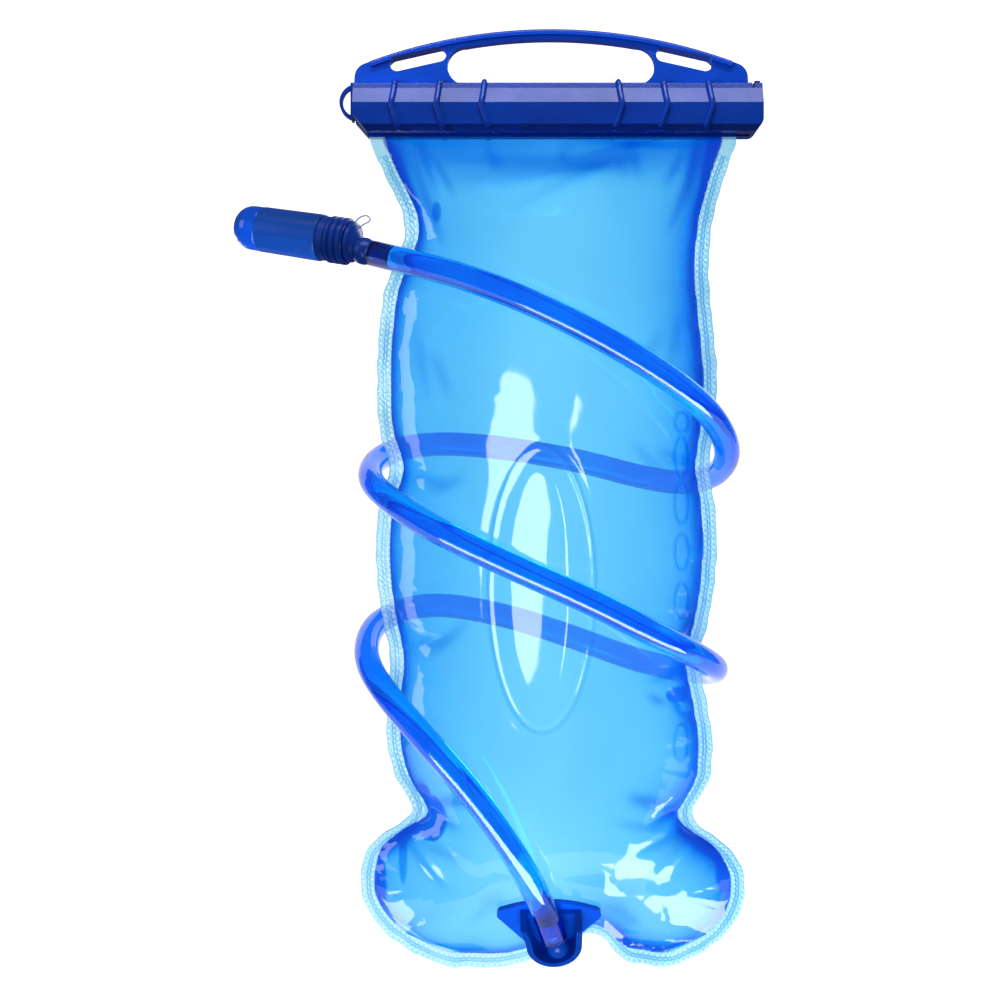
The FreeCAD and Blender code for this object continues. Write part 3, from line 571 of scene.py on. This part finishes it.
def filled(x, z, gz, field):
    """How far the water pushes the film out: steep beside the weld and flat in the middle."""
    rise = np.maximum(look_up(field, x, z), 0.0)
    middle = np.maximum(look_up(field, np.full_like(z, MIDDLE_X), z), LEAST_MIDDLE)
    return fullness(gz) * np.clip((rise / middle) ** ROUNDING, 0.0, MOST_ROUNDING)


def unrest(x, z, s, depth_in, seed):
    """Puckers beside the weld and slow waves further in, calmer over the oval ring."""
    pucker = waves(s, (9.0, 13.0, 19.0, 31.0), seed) * PUCKER * np.exp(-depth_in / PUCKER_REACH)
    slow = waves(x * 0.6 + z, (46.0, 71.0, 103.0), seed + 1) * 0.9
    slow += waves(x - z * 0.3, (57.0, 83.0), seed + 2) * 0.6
    over_ring = 0.35 * np.exp(-((x - RING_CENTRE[0]) / 34.0) ** 2) * ease(-z, 110.0, 150.0)
    calm = 0.55 - over_ring
    return pucker + slow * calm * ease(depth_in, 4.0, 30.0)


def film(name, side, field, line):
    """One film as a fine grid: side -1 is the front, +1 the back."""
    rows = 330
    cols = 161
    x, z, gz = film_grid(rows, cols)
    body = filled(x, z, gz, field)
    near, place = distance_to(np.stack([x, z], -1), line[::4])
    s = place * 4 * LINE_STEP
    depth_in = np.maximum(near - SEAM, 0.0)
    ripple = unrest(x, z, s, depth_in, 3 if side < 0 else 11)
    y = body + ripple * ease(depth_in, 0.0, 5.0) * ease(body, 0.0, 12.0)
    folds = np.zeros_like(x)
    for a, b, width, depth in CREASES:
        if side > 0:
            a, b = (a[0] * 0.9, a[1] - 7.0), (b[0] * 0.86, b[1] + 5.0)
        folds += crease(x, z, a, b, width, depth)
    y += folds * ease(body, 1.0, 8.0)
    if side < 0:
        y += front_relief(x, z) * ease(body, 2.0, 10.0)
    y = np.clip(y, 0.0, MOST_SWELL)
    if side < 0:
        y = under_flange(x, z, y)
    y += FILM
    flutter = band_flutter(s) * (1.0 - ease(depth_in, 0.0, 14.0)) * ease(-z, 44.0, 60.0)
    verts = np.stack([x, side * y + flutter, z], -1) * MM
    piece = mesh_object(name, verts, grid_faces(rows, cols, flip=side > 0))
    paint(piece, "depth", film_depth(x, z, side, depth_in, folds))
    return piece


def band_flutter(s):
    """How far the weld band waves out of its plane along its length."""
    return waves(s, (37.0, 61.0, 97.0), 5) * 1.3


def weld_band(line, s, normals):
    """The pressed band round the pouch: a closed strip with a diamond emboss on both faces."""
    across = np.linspace(0.0, 1.0, 13)
    grooves = (5 / 12, 7 / 12)
    scallop = waves(s, (11.0, 17.0), 9) * 0.35
    width = SEAM + waves(s, (29.0, 43.0), 12) * 0.5
    embossed = ease(-line[:, 1], 51.0, 55.0)
    flutter = band_flutter(s) * ease(-line[:, 1], 44.0, 60.0)
    # painted shade: the band is darker on its right side
    darker_right = 0.16 * ease(line[:, 0], -20.0, 20.0)
    rings = []
    tones = []
    for face in (-1.0, 1.0):
        columns = across if face < 0 else across[::-1]
        for c in columns:
            place = line + normals * (c * width - (1 - c) * scallop)[:, None]
            a = np.abs(np.sin(math.pi * (s + c * SEAM) / EMBOSS_PITCH))
            b = np.abs(np.sin(math.pi * (s - c * SEAM) / EMBOSS_PITCH))
            groove = min(abs(c - groove_at) for groove_at in grooves) < 0.02
            within = 0.06 < c < 0.94
            relief = (a * b) ** 0.7 * embossed * (not groove) * within
            thick = BAND_HALF + EMBOSS_RISE * relief + (0.10 if within else -0.12)
            rings.append(np.stack([place[:, 0], face * thick + flutter, place[:, 1]], -1))
            shade = 0.0 if groove else 0.22 + 0.78 * relief
            tones.append(np.where(embossed > 0.5, shade, 0.6) - darker_right)
    verts = np.stack(rings, 1).reshape(-1, 3) * MM
    piece = mesh_object("weld_band", verts, grid_faces(len(line), len(rings), closed=True))
    paint(piece, "relief", np.stack(tones, 1))
    return piece


# ---------------------------------------------------------------- drink tube
TUBE_ROUTE = (
    (0.5, -22, -396.5), (-5, -31, -379), (-17, -38, -356), (-34, -41, -331),
    (-55, -40, -307), (-72, -30, -290), (-82, -12, -278.5), (-83.5, 9, -268.5), (-78, 28, -261.5),
    (-57, 43, -255.5), (-22, 43, -261), (13, 43, -272.5),
    (41, 44, -283), (62, 33, -287), (73.5, 12, -286), (73.5, -12, -281), (63, -31, -274), (46, -41, -265),
    (15, -42, -249), (-18, -42, -234.5),
    (-52, -40, -218.5), (-70, -29, -207), (-81, -11, -198), (-81, 11, -189), (-71, 29, -182), (-49, 43, -179),
    (-17, 42, -182), (17, 42, -188),
    (46, 43, -196), (65, 31, -199), (77, 11, -195), (79, -12, -185), (68.5, -31, -170), (49.5, -40, -155.5),
    (20, -41, -137.5), (-13, -37, -121), (-40, -31, -110.2), (-62, -23, -103.3), (-78.5, -14, -98),
)
# in metres, as the spline and the materials need them
TUBE_RADIUS = 0.00575
BORE_RADIUS = 0.0040
# how far to the side the tube's painted shade starts to deepen its tint, and where it is deepest
BEND_FROM = 0.062
BEND_TO = 0.078


def route_curve(name, bevel):
    """The tube's route as a smooth curve, with a round section of the given radius."""
    data = bpy.data.curves.new(name, "CURVE")
    data.dimensions = "3D"
    data.resolution_u = 10
    spline = data.splines.new("NURBS")
    spline.points.add(len(TUBE_ROUTE) - 1)
    for point, (x, y, z) in zip(spline.points, TUBE_ROUTE):
        point.co = (x * MM, y * MM, z * MM, 1.0)
    spline.order_u = 3
    spline.use_endpoint_u = True
    data.bevel_depth = bevel
    data.bevel_resolution = 7
    return link(bpy.data.objects.new(name, data))


def centreline():
    """Points read from the route's own spline."""
    plain = route_curve("route_reading", 0.0)
    mesh = bpy.data.meshes.new_from_object(plain.evaluated_get(bpy.context.evaluated_depsgraph_get()))
    points = np.array([v.co for v in mesh.vertices])
    bpy.data.objects.remove(plain)
    return points


def swept_bore(name, points):
    """The wall of the bore, facing inwards, with the two ring-shaped cut ends of the tube."""
    sides = 20
    angle = np.linspace(0, 2 * math.pi, sides, endpoint=False)
    tangent = np.gradient(points, axis=0)
    tangent /= np.linalg.norm(tangent, axis=1)[:, None]
    side = np.cross(tangent[0], (0.0, 0.0, 1.0))
    rings = []
    for p, t in zip(points, tangent):
        side = side - t * side.dot(t)
        side /= np.linalg.norm(side)
        up = np.cross(t, side)
        rings.append(p + BORE_RADIUS * (np.cos(angle)[:, None] * side + np.sin(angle)[:, None] * up))
    verts = np.concatenate(rings)
    faces = [tuple(f) for f in grid_faces(len(points), sides, closed=True)]
    for end, ring in ((0, rings[0]), (len(rings) - 1, rings[-1])):
        start = len(verts)
        rim = points[end] + (ring - points[end]) * (TUBE_RADIUS / BORE_RADIUS)
        verts = np.concatenate([verts, rim])
        for k in range(sides):
            a, b = end * sides + k, end * sides + (k + 1) % sides
            quad = (a, b, start + (k + 1) % sides, start + k)
            faces.append(quad if end else quad[::-1])
    return mesh_object(name, verts, faces)


# ---------------------------------------------------------------- closure ribs, in millimetres
# half of the bar's outer section, from its lower back edge up, as distance back and height
BAR_SECTION = ((8.0, -42.0), (10.0, -39.8), (10.0, -30.2), (7.3, -23.2), (6.6, -20.4))
RIB_PLACES = (30.0, 50.0, 70.0)
# how far a rib bows outwards at each depth below the origin
RIB_LINE = ((18.4, -0.4), (26.0, 0.5), (31.8, 1.4), (35.0, 0.3), (44.4, -2.6))
CREST_HALF = 1.45
CREST_RISE = 1.75
CREST_SINK = 0.5                # how far its underside lies inside the bar


# ---------------------------------------------------------------- pieces of the object
def soft_pouch():
    """The two free films and the weld band, which hang from the bar."""
    field = inflated()
    line, s = outline()
    normals = inward_normals(line)
    material = film_material()
    films = []
    sides = (("front_pouch_film", -1.0, "front_film"), ("back_pouch_film", 1.0, "back_film"))
    for name, side, node in sides:
        piece = film(name, side, field, line)
        give(piece, material)
        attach(piece, "reservoir")
        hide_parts(node)
        films.append(piece)
    band = weld_band(line, s, normals)
    give(band, weld_material())
    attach(band, "reservoir")
    return films + [band]


def drink_tube():
    """The clear tube with its bore; the pieces pushed onto its free end hang with it."""
    tube = route_curve("drink_tube_skin", TUBE_RADIUS)
    outer = tube_material("clear_tube", (0.002, 0.38, 0.97), (0.001, 0.30, 0.95), (0.001, 0.22, 0.86))
    give(tube, outer)
    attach(tube, "reservoir")
    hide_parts("drink_tube")
    bore = swept_bore("drink_tube_bore", centreline())
    inner = tube_material("tube_bore", (0.14, 0.78, 1.0), (0.09, 0.68, 0.99), (0.05, 0.60, 0.97))
    give(bore, inner)
    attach(bore, "reservoir")
    return [tube, bore]


def rib_crest(name, place):
    """A rounded crest over one rib, from the lower back edge over the top to the lower front edge."""
    side = 1.0 if place > 0 else -1.0
    corners = np.array(BAR_SECTION + tuple((-y, z) for y, z in reversed(BAR_SECTION)))
    share = np.linspace(0.0, 1.0, 8)[:-1, None]
    path = np.concatenate([a + (b - a) * share for a, b in zip(corners, corners[1:])])
    for _ in range(2):
        path[1:-1] = (path[:-2] + 2 * path[1:-1] + path[2:]) / 4.0
    count = len(path)
    step = np.gradient(path, axis=0)
    out = np.stack([-step[:, 1], step[:, 0]], -1) / np.linalg.norm(step, axis=1)[:, None]
    out *= np.sign((out * (path - path.mean(axis=0))).sum(axis=1))[:, None]
    lean = side * np.interp(-path[:, 1], *zip(*RIB_LINE))
    from_end = np.minimum(np.arange(count), np.arange(count)[::-1])
    fade = np.clip(from_end / 3.0, 0.05, 1.0)[:, None] ** 0.5
    angle = np.linspace(0.0, 2 * math.pi, 16, endpoint=False)
    lift = np.where(np.sin(angle) > 0, CREST_RISE, CREST_SINK) * np.sin(angle)
    verts = np.zeros((count, len(angle), 3))
    verts[:, :, 0] = place + lean[:, None] + CREST_HALF * np.cos(angle) * fade
    verts[:, :, 1:] = path[:, None, :] + out[:, None, :] * (lift * fade)[:, :, None]
    faces = [tuple(f) for f in grid_faces(count, len(angle), closed=True)]
    last = (count - 1) * len(angle)
    faces += [tuple(range(len(angle)))[::-1], tuple(range(last, last + len(angle)))]
    return mesh_object(name, verts.reshape(-1, 3) * MM, faces)


def finish_cad_nodes():
    """The materials of the CAD nodes, and the crests on the bar's ribs."""
    navy = moulded_plastic("navy_plastic", (0.001, 0.060, 0.56))
    valve = moulded_plastic("valve_plastic", (0.001, 0.040, 0.34), 0.34)
    cap = moulded_plastic("cap_plastic", (0.001, 0.055, 0.36), 0.30)
    port = moulded_plastic("port_plastic", (0.001, 0.075, 0.62), 0.2)
    rail = moulded_plastic("rail_plastic", (0.02, 0.12, 0.62), 0.3)
    looks = (
        (navy, ("closure_channel", "carry_handle", "channel_end_cap", "rail_pull_loop")),
        (rail, ("sealing_rail",)),
        (port, ("outlet_flange", "outlet_elbow", "cap_end")),
        (seal_rubber(), ("elbow_o_ring", "stem_o_rings")),
        (valve, ("valve_stem", "shutoff_collar")),
        (cap, ("cap_sleeve",)),
        (silicone(), ("bite_mouthpiece",)),
        (moulded_plastic("tether_plastic", (0.55, 0.72, 0.95), 0.3), ("cap_tether",)),
        (hem_material(), ("folded_hem",)),
    )
    for material, nodes in looks:
        for node in nodes:
            give(NODES[node], material)
    crests = []
    for number, place in enumerate([-p for p in RIB_PLACES] + list(RIB_PLACES)):
        crest = rib_crest(f"rib_crest_{number + 1}", place)
        give(crest, navy)
        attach(crest, "slider")
        crests.append(crest)
    return crests


# ---------------------------------------------------------------- stage and light
FLOOR = -1.30
FLOOR_FRONT = -1.0
BACKDROP = 2.4
BACKDROP_TOP = 2.6
BACKDROP_BEND = 0.60
BACKDROP_HALF = 3.6
BEND_STEPS = 16
SURROUND = 1.0                  # the white that shows round the object and through the tube
AMBIENT = 0.12                  # the light that the surround gives
CENTRE = (-0.02, 0.0, -0.2)
PORT = (0.0, 0.0, -0.395)
PORT_LAMP = (0.0, -0.70, -0.55)


def group_of(name, pieces):
    """A collection of the pieces that a lamp lights."""
    group = bpy.data.collections.new(name)
    for piece in pieces:
        group.objects.link(piece)
    return group


def stage(pieces):
    """A pale floor that curves up into a backdrop; the backdrop glows a little, as a lit cyclorama does."""
    profile = [(FLOOR_FRONT, FLOOR)]
    for i in range(BEND_STEPS + 1):
        angle = math.radians(90.0 * i / BEND_STEPS)
        profile.append((BACKDROP - BACKDROP_BEND + BACKDROP_BEND * math.sin(angle),
                        FLOOR + BACKDROP_BEND - BACKDROP_BEND * math.cos(angle)))
    profile.append((BACKDROP, BACKDROP_TOP))
    verts = []
    for y, z in profile:
        verts += [(-BACKDROP_HALF, y, z), (BACKDROP_HALF, y, z)]
    sweep = mesh_object("backdrop", verts, grid_faces(len(profile), 2))
    n = Nodes("backdrop")
    base = n.ramp(n.noise(3.0), [(0.0, (0.90, 0.91, 0.92)), (1.0, (0.93, 0.935, 0.94))])
    shader = n.add("ShaderNodeBsdfPrincipled", {
        "Base Color": base, "Roughness": 0.9, "Specular IOR Level": 0.1,
        "Emission Color": (1.0, 1.0, 1.0, 1.0), "Emission Strength": 1.2})
    give(sweep, n.finish(shader))
    sweep.light_linking.receiver_collection = group_of("backdrop_glow", pieces)


def area_light(name, place, aim, size, glow, pieces, shape="RECTANGLE"):
    """A soft box of the given brightness, for some of the pieces; its power follows from its area."""
    data = bpy.data.lights.new(name, "AREA")
    data.shape = shape
    data.size, data.size_y = size
    data.energy = glow * math.pi * size[0] * size[1]
    lamp = link(bpy.data.objects.new(name, data))
    lamp.visible_camera = False
    lamp.location = place
    lamp.rotation_euler = (Vector(aim) - Vector(place)).to_track_quat("-Z", "Y").to_euler()
    lamp.light_linking.receiver_collection = group_of(name, pieces)


def lights(films, tube, crests):
    """Soft boxes for the films, for the tube and for the hard pieces, and small fills."""
    front = [piece for piece in films if piece.name != "back_pouch_film"]
    soft = ("front_film", "back_film", "drink_tube")
    hard = [node for node in NODES.values() if node.name not in soft] + crests
    above = [piece for piece in hard if piece.name != "outlet_elbow"]
    flange = [NODES["outlet_flange"]]
    cup = [NODES["outlet_elbow"]]
    handle = [NODES["carry_handle"]]
    barrel = [NODES["cap_sleeve"], NODES["cap_end"]]
    valve = [NODES[name] for name in ("shutoff_collar", "valve_stem", "bite_mouthpiece")]
    fittings = flange + cup + barrel + valve
    area_light("front_soft", (-0.28, -1.30, -0.24), CENTRE, (0.56, 0.50), 6.5, front, "ELLIPSE")
    area_light("front_slim", (0.24, -1.30, -0.28), CENTRE, (0.08, 0.38), 8.0, front, "ELLIPSE")
    area_light("left_rim", (-0.90, -0.05, -0.15), CENTRE, (0.30, 0.80), 3.2, films)
    area_light("low_left", (-0.29, -0.10, -0.60), (-0.08, -0.02, -0.37), (0.16, 0.12), 7.0, front)
    area_light("low_right", (0.25, -0.10, -0.60), (0.08, -0.02, -0.37), (0.34, 0.22), 9.0, front)
    area_light("top_soft", (0.0, -0.34, 0.47), (0.0, 0.0, -0.03), (0.70, 0.12), 12.0, above)
    area_light("side_key", (-0.80, -0.35, 0.10), (0.0, 0.0, -0.06), (0.12, 0.40), 6.0, hard)
    area_light("back_key", (0.55, 0.95, 0.45), (0.0, 0.0, -0.10), (0.60, 0.60), 4.0, hard)
    area_light("back_fill", (-0.70, 0.90, -0.30), (0.0, 0.0, -0.20), (0.30, 0.60), 3.0, hard)
    area_light("low_soft", (-0.02, -0.32, -0.60), CENTRE, (0.80, 0.17), 15.0, tube)
    area_light("low_fill", (-0.10, -0.75, -0.75), CENTRE, (0.60, 0.30), 5.0, fittings)
    area_light("port_fill", PORT_LAMP, PORT, (0.30, 0.30), 20.0, flange)
    area_light("cup_fill", PORT_LAMP, PORT, (0.30, 0.30), 6.0, cup)
    area_light("handle_fill", (-0.50, -0.60, -0.10), (0.0, 0.0, -0.01), (0.30, 0.30), 13.0, handle)
    area_light("cap_fill", (-0.11, -0.15, -0.45), (-0.11, 0.0, -0.085), (0.30, 0.30), 7.0, barrel)


def surround():
    """A white surround, bright to look at and through the tube, that lights the pieces only a little."""
    world = bpy.data.worlds.new("studio")
    world.use_nodes = True
    tree = world.node_tree
    path = tree.nodes.new("ShaderNodeLightPath")
    seen = tree.nodes.new("ShaderNodeMath")
    seen.operation = "MAXIMUM"
    tree.links.new(path.outputs["Is Camera Ray"], seen.inputs[0])
    tree.links.new(path.outputs["Is Transmission Ray"], seen.inputs[1])
    level = tree.nodes.new("ShaderNodeMapRange")
    tree.links.new(seen.outputs[0], level.inputs["Value"])
    level.inputs["To Min"].default_value = AMBIENT
    level.inputs["To Max"].default_value = SURROUND
    background = tree.nodes["Background"]
    tree.links.new(level.outputs[0], background.inputs["Strength"])
    background.inputs["Color"].default_value = (1.0, 1.0, 1.0, 1.0)
    scene = bpy.context.scene
    scene.world = world
    scene.view_settings.view_transform = "Standard"
    scene.cycles.transparent_max_bounces = 32


def build():
    """Camera and cords first, then the films, the finishes, the stage and the light."""
    add_camera()
    tube = drink_tube()
    films = soft_pouch()
    crests = finish_cad_nodes()
    stage(films + tube)
    lights(films, tube, crests)
    surround()


build()
